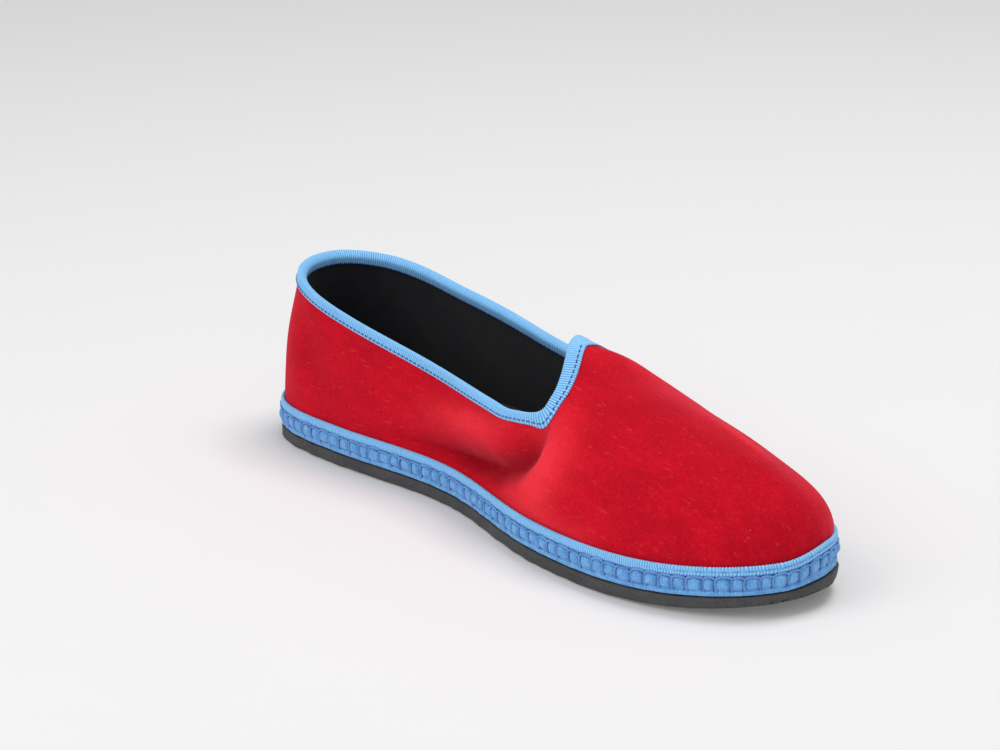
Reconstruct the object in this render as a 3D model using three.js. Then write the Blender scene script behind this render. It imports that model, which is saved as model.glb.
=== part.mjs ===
// A furlane for the left foot: a soft velvet slipper sewn to a cloth midsole over a tyre-rubber outsole.
// Millimetres. +X runs to the toe, +Y to the outer side of the foot, +Z up. The floor is at zero.

import * as THREE from "three";
import { mergeVertices } from "three/addons/utils/BufferGeometryUtils.js";

// Driving dimensions

const LENGTH = 273; // outsole, heel to toe
const TOE_SPRING = 4.1; // rise of the midsole at the toe
const TOE_SKIVE = 1.4; // the outsole is thinner by this at the toe, from below
const BALL_LINE = 0.7 * LENGTH; // the sole is flat behind this line
const CLEARANCE = 0.3; // between pieces that touch

const OUTSOLE_THICKNESS = 5;
const MIDSOLE_TOP = 13;
const REBATE_HEIGHT = 12; // the midsole steps in above this height to take the tape
const MIDSOLE_INSET = 0.4;
const TAPE_TOP = 15.6;
const TAPE_THICKNESS = 1;
const WALL = 2.2; // velvet, stiffener and lining together
const INSOLE_THICKNESS = 2;
const BINDING_WIDTH = 4; // of each leg of the folded ribbon
const BINDING_THICKNESS = 0.8;
const BINDING_GAP = 0.5; // more than elsewhere, because the wall turns sharply at the notch

const UPPER_INSET = TAPE_THICKNESS + CLEARANCE;
const UPPER_FOOT = MIDSOLE_TOP + CLEARANCE;

// Outline of the sole. Half widths on each side of the heel-to-toe line, before the ends round off.

const OUTLINE = [
  { station: 0.0, inner: 69, outer: 64 },
  { station: 0.14, inner: 60, outer: 61 },
  { station: 0.3, inner: 39.5, outer: 46.5 },
  { station: 0.45, inner: 28.8, outer: 41.8 },
  { station: 0.6, inner: 44.5, outer: 48.8 },
  { station: 0.75, inner: 57, outer: 53.2 },
  { station: 0.88, inner: 62.5, outer: 57.8 },
  { station: 1.0, inner: 67.5, outer: 65 },
];

// Ridge of the last. Behind the throat it is only the crown that the open quarters lean towards.

const RIDGE = [
  { along: 0, height: 112, aside: 1 },
  { along: 60, height: 104, aside: 1 },
  { along: 120, height: 86, aside: -2 },
  { along: 160, height: 70.5, aside: -5 },
  { along: 180, height: 62.5, aside: -6.5 },
  { along: 205, height: 56, aside: -6 },
  { along: 230, height: 50.5, aside: -4 },
  { along: 252, height: 45.5, aside: -1.5 },
  { along: 273, height: 41, aside: 0 },
];

// Walls of the last. Each rises from the seam to a ridge point set back from it. The shoulder and the fullness of
// each side are 2 for a round section and more for a square one.

const WALLS = [
  { station: 0.0, setback: -38, shoulder: 1.9, inner: 1.9, outer: 1.9 },
  { station: 0.3, setback: -20, shoulder: 1.9, inner: 1.9, outer: 1.9 },
  { station: 0.5, setback: 12, shoulder: 1.95, inner: 1.75, outer: 1.65 },
  { station: 0.65, setback: 34, shoulder: 2, inner: 1.55, outer: 1.25 },
  { station: 0.8, setback: 34, shoulder: 2.1, inner: 2.1, outer: 2 },
  { station: 1.0, setback: 30, shoulder: 2.4, inner: 2.4, outer: 2.4 },
];

// Topline, heel to tongue tip. Across is 1 at the seam with the sole and 0 on the ridge.

const TOPLINE = [
  { station: 0.0, across: 0.62 },
  { station: 0.15, across: 0.635 },
  { station: 0.3, across: 0.67 },
  { station: 0.45, across: 0.67 },
  { station: 0.53, across: 0.614 },
  { station: 0.57, across: 0.551 },
  { station: 0.594, across: 0.496 },
  { station: 0.607, across: 0.447 },
  { station: 0.615, across: 0.39 },
  { station: 0.6225, across: 0.32 },
  { station: 0.6295, across: 0.21 },
  { station: 0.6335, across: 0.1 },
  { station: 0.6374, across: 0.05 },
  { station: 0.6403, across: 0.02 },
  { station: 0.6425, across: 0.0 },
];

// Fineness of the facets

const QUARTER_STEPS = 42; // heel to tongue tip, along the topline
const VAMP_STEPS = 20; // tongue tip to toe
const WALL_ROWS = 11; // seam to topline or ridge
const SOLE_STEPS = 52; // heel to toe

const INNER = -1;
const OUTER = 1;

// Curves

// Smooth value of a column of a table at a place on its key column.
function lookUp(table, key, column, place) {
  const last = table.length - 1;
  let i = 0;
  while (i < last - 1 && place > table[i + 1][key]) i += 1;
  const slope = (k) => {
    const before = table[Math.max(k - 1, 0)];
    const after = table[Math.min(k + 1, last)];
    return (after[column] - before[column]) / (after[key] - before[key]);
  };
  const span = table[i + 1][key] - table[i][key];
  const s = THREE.MathUtils.clamp((place - table[i][key]) / span, 0, 1);
  const rise = s * s * (3 - 2 * s);
  const leave = s * (1 - s) * (1 - s) * span * slope(i);
  const arrive = s * s * (s - 1) * span * slope(i + 1);
  return table[i][column] * (1 - rise) + table[i + 1][column] * rise + leave + arrive;
}

// Rise of the sole over the floor at a distance from the heel. The share of the skive is 1 under the outsole.
function toeLift(x, skive = 0) {
  const past = Math.max(x - BALL_LINE, 0) / (LENGTH - BALL_LINE);
  return (TOE_SPRING + skive * TOE_SKIVE) * Math.pow(past, 2.6);
}

// Point of the sole's outline, moved outwards by grow.
function outlinePoint(station, side, grow) {
  const place = (t) => {
    const half = lookUp(OUTLINE, "station", side === INNER ? "inner" : "outer", t);
    const x = (LENGTH * (1 - Math.cos(Math.PI * t))) / 2;
    return new THREE.Vector2(x, side * Math.sin(Math.PI * t) * half);
  };
  const here = place(station);
  if (station <= 0) return here.set(-grow, 0);
  if (station >= 1) return here.set(LENGTH + grow, 0);
  const step = 1e-4;
  const run = place(Math.min(station + step, 1)).sub(place(station - step)).normalize();
  return here.add(new THREE.Vector2(-run.y, run.x).multiplyScalar(side * grow));
}

// Point on the form of the upper. Across runs from -1 at the inner seam over 0 on the ridge to 1 at the outer seam.
// Grow gives a larger or smaller form, for the lining, the binding and their gaps.
function formPoint(station, across, grow) {
  const t = Math.abs(station);
  const v = station < 0 ? -across : across;
  const side = v < 0 ? INNER : OUTER;
  const foot = outlinePoint(t, side, grow - UPPER_INSET);
  const shoulder = lookUp(WALLS, "station", "shoulder", t);
  const fullness = lookUp(WALLS, "station", side === INNER ? "inner" : "outer", t);
  const angle = ((1 - Math.abs(v)) * Math.PI) / 2;
  const inwards = 1 - Math.pow(Math.max(Math.cos(angle), 0), 2 / shoulder);
  const upwards = Math.pow(Math.sin(angle), 2 / fullness);
  const straightFoot = outlinePoint(t, side, -UPPER_INSET);
  const ridgeX = straightFoot.x - lookUp(WALLS, "station", "setback", t);
  const ridgeY = lookUp(RIDGE, "along", "aside", ridgeX);
  const x = foot.x + (ridgeX - foot.x) * inwards;
  const y = foot.y + (ridgeY - foot.y) * inwards;
  const floor = UPPER_FOOT + toeLift(x);
  const top = lookUp(RIDGE, "along", "height", x) + grow;
  return new THREE.Vector3(x, y, floor + (top - floor) * upwards);
}

// Half of the topline as places on the form, heel to tongue tip, evenly stepped along the curve.
function toplinePlaces(side) {
  const first = TOPLINE[1];
  const beforeTip = TOPLINE[TOPLINE.length - 2];
  const rows = [
    { station: -first.station, across: first.across },
    ...TOPLINE,
    { station: beforeTip.station, across: -beforeTip.across },
  ];
  const knots = rows.map((row) => new THREE.Vector3(row.station, row.across, 0));
  const curve = new THREE.CatmullRomCurve3(knots, false, "catmullrom", 0.5);
  const spans = knots.length - 1;
  const fine = 400;
  const trail = [];
  for (let k = 0; k <= fine; k += 1) {
    const at = curve.getPoint((1 + (k / fine) * (spans - 2)) / spans);
    trail.push({ station: Math.max(at.x, 0), across: side * Math.max(at.y, 0) });
  }
  const points = trail.map((at) => formPoint(at.station, at.across, 0));
  const run = [0];
  for (let k = 1; k <= fine; k += 1) run.push(run[k - 1] + points[k].distanceTo(points[k - 1]));
  const places = [];
  let k = 0;
  for (let i = 0; i <= QUARTER_STEPS; i += 1) {
    const goal = (run[fine] * i) / QUARTER_STEPS;
    while (k < fine - 1 && run[k + 1] < goal) k += 1;
    const s = THREE.MathUtils.clamp((goal - run[k]) / (run[k + 1] - run[k]), 0, 1);
    places.push({
      station: THREE.MathUtils.lerp(trail[k].station, trail[k + 1].station, s),
      across: THREE.MathUtils.lerp(trail[k].across, trail[k + 1].across, s),
    });
  }
  return places;
}

// Place reached by going a distance over the form from the topline into the cloth, square to the topline.
function placeBelow(place, tangent, side, distance) {
  const small = 1e-3;
  const strides = 4;
  let { station, across } = place;
  for (let i = 0; i < strides; i += 1) {
    const alongStation = formPoint(station + small, across, 0).sub(formPoint(station - small, across, 0));
    const alongAcross = formPoint(station, across + small, 0).sub(formPoint(station, across - small, 0));
    alongStation.divideScalar(2 * small);
    alongAcross.divideScalar(2 * small);
    const normal = new THREE.Vector3().crossVectors(alongStation, alongAcross).normalize();
    const inwards = new THREE.Vector3().crossVectors(normal, tangent).normalize();
    inwards.multiplyScalar((side * distance) / strides);
    const a = alongStation.lengthSq();
    const b = alongStation.dot(alongAcross);
    const c = alongAcross.lengthSq();
    const p = inwards.dot(alongStation);
    const q = inwards.dot(alongAcross);
    station += (c * p - b * q) / (a * c - b * b);
    across += (a * q - b * p) / (a * c - b * b);
  }
  return { station: Math.max(station, 0), across: side * Math.max(side * across, 0) };
}

// Closed bodies from grids of points

class Skin {
  constructor() {
    this.corners = [];
  }

  triangle(a, b, c) {
    for (const point of [a, b, c]) this.corners.push(point.x, point.y, point.z);
  }

  // Joins two lines of points that have the same count.
  strip(one, other) {
    for (let i = 0; i + 1 < one.length; i += 1) {
      this.triangle(one[i], other[i], other[i + 1]);
      this.triangle(one[i], other[i + 1], one[i + 1]);
    }
  }

  // Shared corners are merged, faces without area are dropped and the faces are turned outwards.
  geometry() {
    const loose = new THREE.BufferGeometry();
    loose.setAttribute("position", new THREE.Float32BufferAttribute(this.corners, 3));
    const merged = mergeVertices(loose, 1e-3);
    const index = merged.index.array;
    const kept = [];
    for (let i = 0; i < index.length; i += 3) {
      const [a, b, c] = [index[i], index[i + 1], index[i + 2]];
      if (a !== b && b !== c && c !== a) kept.push(a, b, c);
    }
    merged.setIndex(kept);
    if (volumeOf(merged) < 0) merged.setIndex(kept.reverse());
    merged.computeVertexNormals();
    return merged;
  }
}

function volumeOf(geometry) {
  const place = geometry.getAttribute("position");
  const index = geometry.index.array;
  const corner = (k) => new THREE.Vector3().fromBufferAttribute(place, index[k]);
  let sum = 0;
  for (let i = 0; i < index.length; i += 3) sum += corner(i).dot(corner(i + 1).cross(corner(i + 2)));
  return sum / 6;
}

// A plate of the sole: an edge profile, bottom to top, carried round the outline, with flat faces across.
function plateGeometry(profile) {
  const skin = new Skin();
  const edge = (k, side, row) => {
    const at = outlinePoint(k / SOLE_STEPS, side, row.grow);
    return new THREE.Vector3(at.x, at.y, row.height + toeLift(at.x, row.skive));
  };
  for (let k = 0; k < SOLE_STEPS; k += 1) {
    const line = (n) => [
      ...profile.map((row) => edge(n, INNER, row)),
      ...[...profile].reverse().map((row) => edge(n, OUTER, row)),
      edge(n, INNER, profile[0]),
    ];
    skin.strip(line(k), line(k + 1));
  }
  return skin.geometry();
}

// A closed profile carried once round the outline.
function hoopGeometry(profile) {
  const skin = new Skin();
  const ring = (station, side) =>
    [...profile, profile[0]].map((row) => {
      const at = outlinePoint(station, side, row.grow);
      return new THREE.Vector3(at.x, at.y, row.height + toeLift(at.x));
    });
  for (let k = 0; k < SOLE_STEPS; k += 1) {
    skin.strip(ring(k / SOLE_STEPS, INNER), ring((k + 1) / SOLE_STEPS, INNER));
    skin.strip(ring((k + 1) / SOLE_STEPS, OUTER), ring(k / SOLE_STEPS, OUTER));
  }
  return skin.geometry();
}

// Pieces

function outsoleGeometry() {
  return plateGeometry([
    { grow: -1.2, height: 0, skive: 1 },
    { grow: -0.3, height: 0.8, skive: 0.85 },
    { grow: 0, height: 2.2, skive: 0.55 },
    { grow: 0, height: OUTSOLE_THICKNESS, skive: 0 },
  ]);
}

function midsoleGeometry() {
  return plateGeometry([
    { grow: -MIDSOLE_INSET, height: OUTSOLE_THICKNESS + CLEARANCE },
    { grow: -MIDSOLE_INSET, height: REBATE_HEIGHT },
    { grow: -UPPER_INSET, height: REBATE_HEIGHT },
    { grow: -UPPER_INSET, height: MIDSOLE_TOP },
  ]);
}

function insoleGeometry() {
  const inset = UPPER_INSET + WALL + CLEARANCE;
  return plateGeometry([
    { grow: -inset, height: UPPER_FOOT },
    { grow: -inset - 3 * CLEARANCE, height: UPPER_FOOT + INSOLE_THICKNESS },
  ]);
}

function tapeGeometry() {
  const foot = REBATE_HEIGHT + CLEARANCE;
  return hoopGeometry([
    { grow: 0, height: foot },
    { grow: 0, height: TAPE_TOP - 1 },
    { grow: -0.5, height: TAPE_TOP },
    { grow: -TAPE_THICKNESS, height: TAPE_TOP },
    { grow: -TAPE_THICKNESS, height: foot },
  ]);
}

// One wall from the seam up to the topline and over the vamp, with a lining form inside the outer form.
function upperGeometry() {
  const skin = new Skin();
  for (const side of [INNER, OUTER]) {
    const places = toplinePlaces(side);
    const tip = places[QUARTER_STEPS].station;
    for (let i = 1; i <= VAMP_STEPS; i += 1) {
      places.push({ station: THREE.MathUtils.lerp(tip, 1, i / VAMP_STEPS), across: 0 });
    }
    const rise = (place, grow) => {
      const line = [];
      for (let row = 0; row <= WALL_ROWS; row += 1) {
        const left = Math.pow(1 - row / WALL_ROWS, 1.35); // the rows close up towards the topline
        line.push(formPoint(place.station, place.across + (side - place.across) * left, grow));
      }
      return line;
    };
    const shell = places.map((place) => [...rise(place, 0), ...rise(place, -WALL).reverse()]);
    for (let i = 0; i + 1 < shell.length; i += 1) {
      const beforeTip = i < QUARTER_STEPS;
      const half = WALL_ROWS + 1;
      const pair = side === INNER ? [shell[i], shell[i + 1]] : [shell[i + 1], shell[i]];
      const [one, other] = pair;
      if (beforeTip) {
        skin.strip([...one, one[0]], [...other, other[0]]);
      } else {
        skin.strip(one.slice(0, half), other.slice(0, half));
        skin.strip([...one.slice(half), one[0]], [...other.slice(half), other[0]]);
      }
    }
  }
  return skin.geometry();
}

// Ribbon folded over the topline, one leg outside and one inside.
function bindingGeometry() {
  const near = BINDING_GAP;
  const far = BINDING_GAP + BINDING_THICKNESS;
  const halves = [INNER, OUTER].map((side) => {
    const places = toplinePlaces(side);
    return places.map((place, i) => {
      const before = places[Math.max(i - 1, 0)];
      const after = places[Math.min(i + 1, QUARTER_STEPS)];
      const tangent = formPoint(after.station, after.across, 0);
      tangent.sub(formPoint(before.station, before.across, 0)).normalize();
      if (i === 0 || i === QUARTER_STEPS) tangent.set(0, -side, 0);
      if (i === 0) tangent.negate();
      const middle = placeBelow(place, tangent, side, BINDING_WIDTH / 2);
      const low = placeBelow(place, tangent, side, BINDING_WIDTH);
      if (i === 0) middle.station = low.station = 0;
      if (i === QUARTER_STEPS) middle.across = low.across = 0;
      const up = formPoint(place.station, place.across, 0);
      up.sub(formPoint(middle.station, middle.across, 0)).normalize();
      const at = (where, grow) => formPoint(where.station, where.across, grow);
      const over = (grow, lift) => at(place, grow).addScaledVector(up, lift);
      return [
        at(low, far),
        at(middle, far),
        over(far, 0),
        over(0, far),
        over(-WALL, far),
        over(-WALL - far, 0),
        at(middle, -WALL - far),
        at(low, -WALL - far),
        at(low, -WALL - near),
        at(middle, -WALL - near),
        over(-WALL - near, near),
        over(near, near),
        at(middle, near),
        at(low, near),
        at(low, far),
      ];
    });
  });
  const skin = new Skin();
  const loop = [...halves[0], ...halves[1].reverse().slice(1)];
  for (let i = 0; i + 1 < loop.length; i += 1) skin.strip(loop[i], loop[i + 1]);
  return skin.geometry();
}

// Assembly

const finish = (color, roughness) => new THREE.MeshStandardMaterial({ color, roughness, metalness: 0 });
const velvet = finish("#c4122a", 0.95);
const ribbon = finish("#4f97e0", 0.8);
const cloth = finish("#5b9fe4", 0.85);
const rubber = finish("#2f2f31", 0.7);
const lining = finish("#1b1b1d", 0.9);

const pieces = [
  { name: "outsole", geometry: outsoleGeometry(), material: rubber },
  { name: "midsole", geometry: midsoleGeometry(), material: cloth },
  { name: "edge_tape", geometry: tapeGeometry(), material: ribbon },
  { name: "insole", geometry: insoleGeometry(), material: lining },
  { name: "upper", geometry: upperGeometry(), material: velvet },
  { name: "collar_binding", geometry: bindingGeometry(), material: ribbon },
];

const slipper = new THREE.Group();
for (const piece of pieces) {
  const mesh = new THREE.Mesh(piece.geometry, piece.material);
  mesh.name = piece.name;
  slipper.add(mesh);
}

// The origin goes to the middle of the footprint, on the floor.
pieces[0].geometry.computeBoundingBox();
const middle = pieces[0].geometry.boundingBox.getCenter(new THREE.Vector3());
for (const mesh of slipper.children) mesh.position.set(-middle.x, -middle.y, 0);

export default slipper;
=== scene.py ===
"""Looks of a furlane: a velvet slipper with ribbon trim, a hand-sewn cloth edge and a tyre-rubber sole.

The shape of the shoe is worked out in millimetres, with the back of the heel at zero, +X to the toe, +Y to the
outer side of the foot and the floor at zero. Meshes are written in metres, around the middle of the footprint.
"""

import math

import bmesh
import bpy
import numpy as np
from bpy.props import FloatProperty, FloatVectorProperty, IntProperty, PointerProperty
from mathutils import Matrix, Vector


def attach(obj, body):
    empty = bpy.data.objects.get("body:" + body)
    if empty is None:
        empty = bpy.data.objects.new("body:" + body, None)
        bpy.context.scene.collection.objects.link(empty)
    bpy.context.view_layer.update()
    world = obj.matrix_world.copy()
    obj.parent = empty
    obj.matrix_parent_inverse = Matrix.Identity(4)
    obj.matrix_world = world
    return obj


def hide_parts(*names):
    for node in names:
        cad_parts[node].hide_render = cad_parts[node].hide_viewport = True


bl_info = {
    "name": "Velvet Slipper",
    "version": (1, 0, 0),
    "blender": (4, 5, 0),
    "location": "View3D > Sidebar > Slipper",
    "description": "Builds the velvet, trim, stitching and sole of a slipper around its packed frame",
    "category": "Object",
}

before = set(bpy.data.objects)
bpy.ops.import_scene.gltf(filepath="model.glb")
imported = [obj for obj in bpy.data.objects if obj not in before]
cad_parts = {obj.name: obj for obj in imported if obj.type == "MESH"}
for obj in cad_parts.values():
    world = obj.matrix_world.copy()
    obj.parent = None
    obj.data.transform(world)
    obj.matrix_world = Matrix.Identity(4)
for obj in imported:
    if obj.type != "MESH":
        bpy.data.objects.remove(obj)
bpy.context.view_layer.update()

MM = 0.001
INNER = -1
OUTER = 1
SIDES = (INNER, OUTER)

# Last and sole

LENGTH = 273.0
TOE_SPRING = 4.1
TOE_SKIVE = 1.4
BALL_LINE = 0.7 * LENGTH
WALL = 2.2
LINING_GAP = 0.15
UPPER_INSET = 1.3
UPPER_FOOT = 13.3
RUBBER_FOOT = 0.35
OUTSOLE_TOP = 5.0
INSOLE_TOP = 15.3
BAR_HEIGHT = 12.2
TAPE_MIDDLE = 13.98
TOE_PULL = 3.0

# Seeds of what is set by chance

STITCH_SEED = 5
CLOTH_SEED = 11
THREAD_SEED = 7

# Half widths of the sole on each side of the heel-to-toe line, before the ends round off.
OUTLINE = {
    "station": (0.0, 0.14, 0.3, 0.45, 0.6, 0.75, 0.88, 1.0),
    "inner": (69, 60, 39.5, 28.8, 44.5, 57, 62.5, 67.5),
    "outer": (64, 61, 46.5, 41.8, 48.8, 53.2, 57.8, 65),
}

# Ridge of the last, which the open quarters lean towards.
RIDGE = {
    "along": (0, 60, 120, 160, 180, 205, 230, 252, 273),
    "height": (112, 104, 86, 70.5, 62.5, 56, 50.5, 45.5, 41),
    "aside": (1, 1, -2, -5, -6.5, -6, -4, -1.5, 0),
}

# Walls of the last, from the seam to a ridge point set back from it.
WALLS = {
    "station": (0.0, 0.3, 0.5, 0.65, 0.8, 1.0),
    "setback": (-38, -20, 12, 34, 34, 30),
    "shoulder": (1.9, 1.9, 1.95, 2, 2.1, 2.4),
    "inner": (1.9, 1.9, 1.75, 1.55, 2.1, 2.4),
    "outer": (1.9, 1.9, 1.65, 1.25, 2, 2.4),
}

# Topline, heel to tongue tip. Across is 1 at the seam with the sole and 0 on the ridge.
TOPLINE = {
    "station": (0.0, 0.15, 0.3, 0.45, 0.53, 0.57, 0.594, 0.607, 0.615, 0.6225, 0.6295, 0.6335, 0.6374, 0.6403, 0.6425),
    "across": (0.62, 0.635, 0.67, 0.67, 0.614, 0.551, 0.496, 0.447, 0.39, 0.32, 0.21, 0.1, 0.05, 0.02, 0.0),
}

# Steps of a wall along the rim, along the vamp and up the side
UPPER_GRID = (130, 90, 48)
LINING_GRID = (66, 46, 24)

# Soft troughs and ridges of the velvet: height, width, and the stations and places across of the line that each
# follows on the form. They fade out at their ends.
FOLDS = (
    # Hollow of the inner waist, below the notch
    (
        -7.0,
        5.5,
        (0.38, 0.425, 0.456, 0.493, 0.532, 0.564, 0.587, 0.6, 0.608),
        (-0.975, -0.958, -0.936, -0.908, -0.85, -0.755, -0.655, -0.575, -0.5),
    ),
    # Roll of cloth over the hollow
    (3.0, 7.0, (0.4, 0.445, 0.492, 0.533, 0.565), (-0.825, -0.8, -0.76, -0.695, -0.6)),
    # Edge where the vamp turns into the hollow
    (2.6, 12.0, (0.624, 0.634, 0.635, 0.624, 0.605), (-0.45, -0.56, -0.68, -0.8, -0.92)),
    # Outer side of the tongue, which falls away
    (-7.0, 8.0, (0.634, 0.629, 0.624, 0.616, 0.604), (0.05, 0.16, 0.26, 0.36, 0.46)),
    # Roll across the vamp in front of the tongue
    (3.4, 9.0, (0.65, 0.66, 0.666, 0.669, 0.671), (-0.1, 0.02, 0.09, 0.15, 0.2)),
    # Fullness of the instep
    (1.1, 8.0, (0.642, 0.66, 0.678, 0.694, 0.706), (0.31, 0.31, 0.312, 0.315, 0.32)),
    # Fullness of the outer side of the toe
    (1.5, 10.0, (0.822, 0.843, 0.857, 0.868, 0.88), (0.57, 0.65, 0.73, 0.81, 0.88)),
    # Low ridge on the toe
    (0.8, 4.0, (0.77, 0.81, 0.85, 0.885, 0.92), (0.19, 0.212, 0.225, 0.235, 0.24)),
    # Hollow of the outer waist
    (-1.6, 7.0, (0.4, 0.47, 0.53, 0.58, 0.61), (0.93, 0.89, 0.82, 0.72, 0.6)),
    # Dents beside the heel, inner and outer side
    (-0.9, 7.0, (0.2, 0.23, 0.25, 0.27), (-0.72, -0.8, -0.88, -0.95)),
    (-0.8, 7.0, (0.18, 0.22, 0.25, 0.27), (0.7, 0.79, 0.87, 0.95)),
)

# Painted highlights of the velvet's sheen, lighter patches where it catches the light: tone, width, stations and
# places across.
PAINTED_HIGHLIGHTS = (
    # Side of the vamp, next to the hollow
    (1.0, 11.0, (0.61, 0.618, 0.618, 0.605, 0.585, 0.555), (-0.46, -0.56, -0.65, -0.74, -0.83, -0.92)),
    # Roll of cloth over the hollow
    (0.7, 5.5, (0.42, 0.465, 0.5, 0.535, 0.565), (-0.815, -0.79, -0.755, -0.69, -0.58)),
    # Top of the vamp, in front of the tongue
    (0.35, 9.0, (0.652, 0.672, 0.7, 0.75, 0.83), (-0.02, 0.14, 0.22, 0.26, 0.25)),
    # Low ridge on the toe
    (0.55, 2.6, (0.76, 0.8, 0.84, 0.875, 0.91), (0.18, 0.206, 0.218, 0.228, 0.234)),
    # Low side of the vamp, over the tape
    (0.35, 6.0, (0.6, 0.63, 0.65, 0.67, 0.69), (-0.9, -0.92, -0.93, -0.93, -0.93)),
)

# Section of the collar ribbon: share of its width below the topline, and distance from the outside or the inside of
# the wall. The rim between them has angles, in degrees. The last rings lie in the fold and have no ribs.
COLLAR_OUTSIDE = ((1.0, 0.3), (0.98, 0.62), (0.9, 0.74), (0.7, 0.78), (0.5, 0.82), (0.3, 0.86), (0.12, 0.9))
COLLAR_RIM = range(15, 180, 30)
COLLAR_INSIDE = ((0.12, 0.85), (0.4, 0.75), (0.7, 0.65), (0.85, 0.5), (0.86, 0.15), (0.4, 0.12), (0.1, 0.1))
COLLAR_BACK = ((0.1, 0.1), (0.5, 0.12), (0.97, 0.14))
COLLAR_RIBBED = 18

# Edges of the sole's layers, from the bottom to the top: growth past the outline and height. The rubber also has its
# shares of the knife's waver and of the pull at the outer front of the toe.
RUBBER_EDGE = {
    "grow": (-0.9, -0.4, -0.1, 0.0, 0.05, 0.0, -0.12, -0.5, -1.8),
    "height": (RUBBER_FOOT, RUBBER_FOOT + 0.12, RUBBER_FOOT + 0.5, 1.2, 2.6, 4.5, 4.82, 4.97, OUTSOLE_TOP),
    "waver": (1, 1, 1, 1, 0.6, 0.8, 1, 0.5, 0),
    "pull": (-0.6, -0.5, -0.3, 0, 0.5, 1, 1, 1, 0),
}
MIDSOLE_EDGE = {
    "grow": (-2.4, -2.0, -0.35, 0.05, 0.12, 0, -0.25, -0.5, -0.42, *[-0.35] * 4, -0.4, -0.5, -0.9, -1.25, -1.3),
    "height": (5.12, 5.3, 5.45, 5.8, 6.4, 6.9, 7.2, 7.5, 7.8, 8.3, 9.1, 10, 10.9, 11.6, 12, 12.2, 12.3, 12.9),
}
INSOLE_EDGE = {
    "grow": (-4.6, -3.9, -3.8, -4.2, -5.2, -9.0, -16.0),
    "height": (13.35, 13.5, 14.3, 14.9, 15.15, 15.2, INSOLE_TOP),
}

# Section of the tape, up its face and down its back, with the growth of its knots round the toe and its share of ribs.
TAPE_EDGE = {
    "grow": (-0.35, -0.05, 0.15, 0.26, 0.3, 0.3, 0.3, 0.3, 0.26, 0.16, 0, -0.25, -0.55, -1, -1.15, -1.1),
    "height": (
        12.25, 12.4, 12.75, 13.2, 13.6, 13.85, TAPE_MIDDLE, 14.1,
        14.4, 14.85, 15.25, 15.5, 15.6, 15.5, 14.4, 12.9,
    ),
    "knots": (0, 0.05, 0.14, 0.14, 0, -0.2, -0.3, -0.2, 0, 0.16, 0.18, 0.12, 0.05, 0, 0, 0),
    "ribs": (0.2, 0.7, 1, 1, 1, 0.8, 0.6, 0.8, 1, 1, 1, 1, 0.8, 0, 0, 0),
}

# One hand stitch, from the end of its leg up to the bar and along it: X along the seam, Y out of the cloth, Z down.
BLANKET_STITCH = (
    (0.3, -1.0, 5.5), (0.2, -0.3, 5.25), (0.05, 0.0, 4.6), (-0.1, 0.0, 3.4), (-0.1, 0.1, 2.2), (0.1, 0.25, 1.1),
    (0.7, 0.42, 0.3), (1.7, 0.46, 0.0), (3.0, 0.4, -0.05), (4.4, 0.42, 0.1), (5.3, 0.36, 0.45), (5.75, 0.15, 0.8),
)

# White stitches under the sole: the first row's distance from the edge, the step between rows, and the distance from
# the edge to the core that the rows close in on.
ROW_INSET = 5.5
ROW_STEP = 7.2
ROW_REACH = 45
WAX_HEIGHT = 0.3
WAX_SKIVE = 0.94

# Tyre tread. The marks are repeated along the sole and mirrored across the middle rib.
TREAD_PITCH = 12.8
TREAD_TURN = 0.025
TREAD_ASIDE = 3.0
INNER_MARK = ((0, 2.1), (10.9, 2.1), (10.9, 9.2), (15.1, 9.2), (15.1, 10.9), (10.0, 10.9), (10.0, 3.0), (0, 3.0))
OUTER_MARK = ((4.0, 9.2), (7.2, 9.2), (7.2, 17.4), (10.4, 17.4), (10.4, 18.6), (6.3, 18.6), (6.3, 10.9), (4.0, 10.9))

# Stage, in metres
FLOOR_REACH = 4
CAMERA_PLACE = (0.7919, -0.68893, 0.3828)
CAMERA_AIM = (-0.12708, 0.08631, 0)


# Curves and surfaces of the form


def look_up(table, key, column, place):
    """Smooth value of a table's column at a place on its key column."""
    keys = np.asarray(table[key], float)
    values = np.asarray(table[column], float)
    order = np.arange(len(keys))
    before = np.maximum(order - 1, 0)
    after = np.minimum(order + 1, len(keys) - 1)
    slopes = (values[after] - values[before]) / (keys[after] - keys[before])
    place = np.asarray(place, float)
    i = np.clip(np.searchsorted(keys, place) - 1, 0, len(keys) - 2)
    span = keys[i + 1] - keys[i]
    s = np.clip((place - keys[i]) / span, 0, 1)
    rise = s * s * (3 - 2 * s)
    leave = s * (1 - s) ** 2 * span * slopes[i]
    arrive = s * s * (s - 1) * span * slopes[i + 1]
    return values[i] * (1 - rise) + values[i + 1] * rise + leave + arrive


def fade(low, high, value):
    """Smooth step from 0 at low to 1 at high."""
    s = np.clip((np.asarray(value, float) - low) / (high - low), 0, 1)
    return s * s * (3 - 2 * s)


def bell(value, middle, width):
    """Soft bump, 1 at the middle."""
    return np.exp(-(((value - middle) / width) ** 2))

def unit(vectors):
    """Vectors at length one."""
    return vectors / np.maximum(np.linalg.norm(vectors, axis=-1, keepdims=True), 1e-12)


def lengths_along(points):
    """Running length of a line of points."""
    return np.r_[0, np.cumsum(np.linalg.norm(np.diff(points, axis=0), axis=1))]


def toe_lift(x, skive=0.0):
    """Rise of the sole over the floor at a distance from the heel. The share of the skive is 1 under the rubber."""
    past = np.maximum(x - BALL_LINE, 0) / (LENGTH - BALL_LINE)
    return (TOE_SPRING + skive * TOE_SKIVE) * past**2.6


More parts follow.
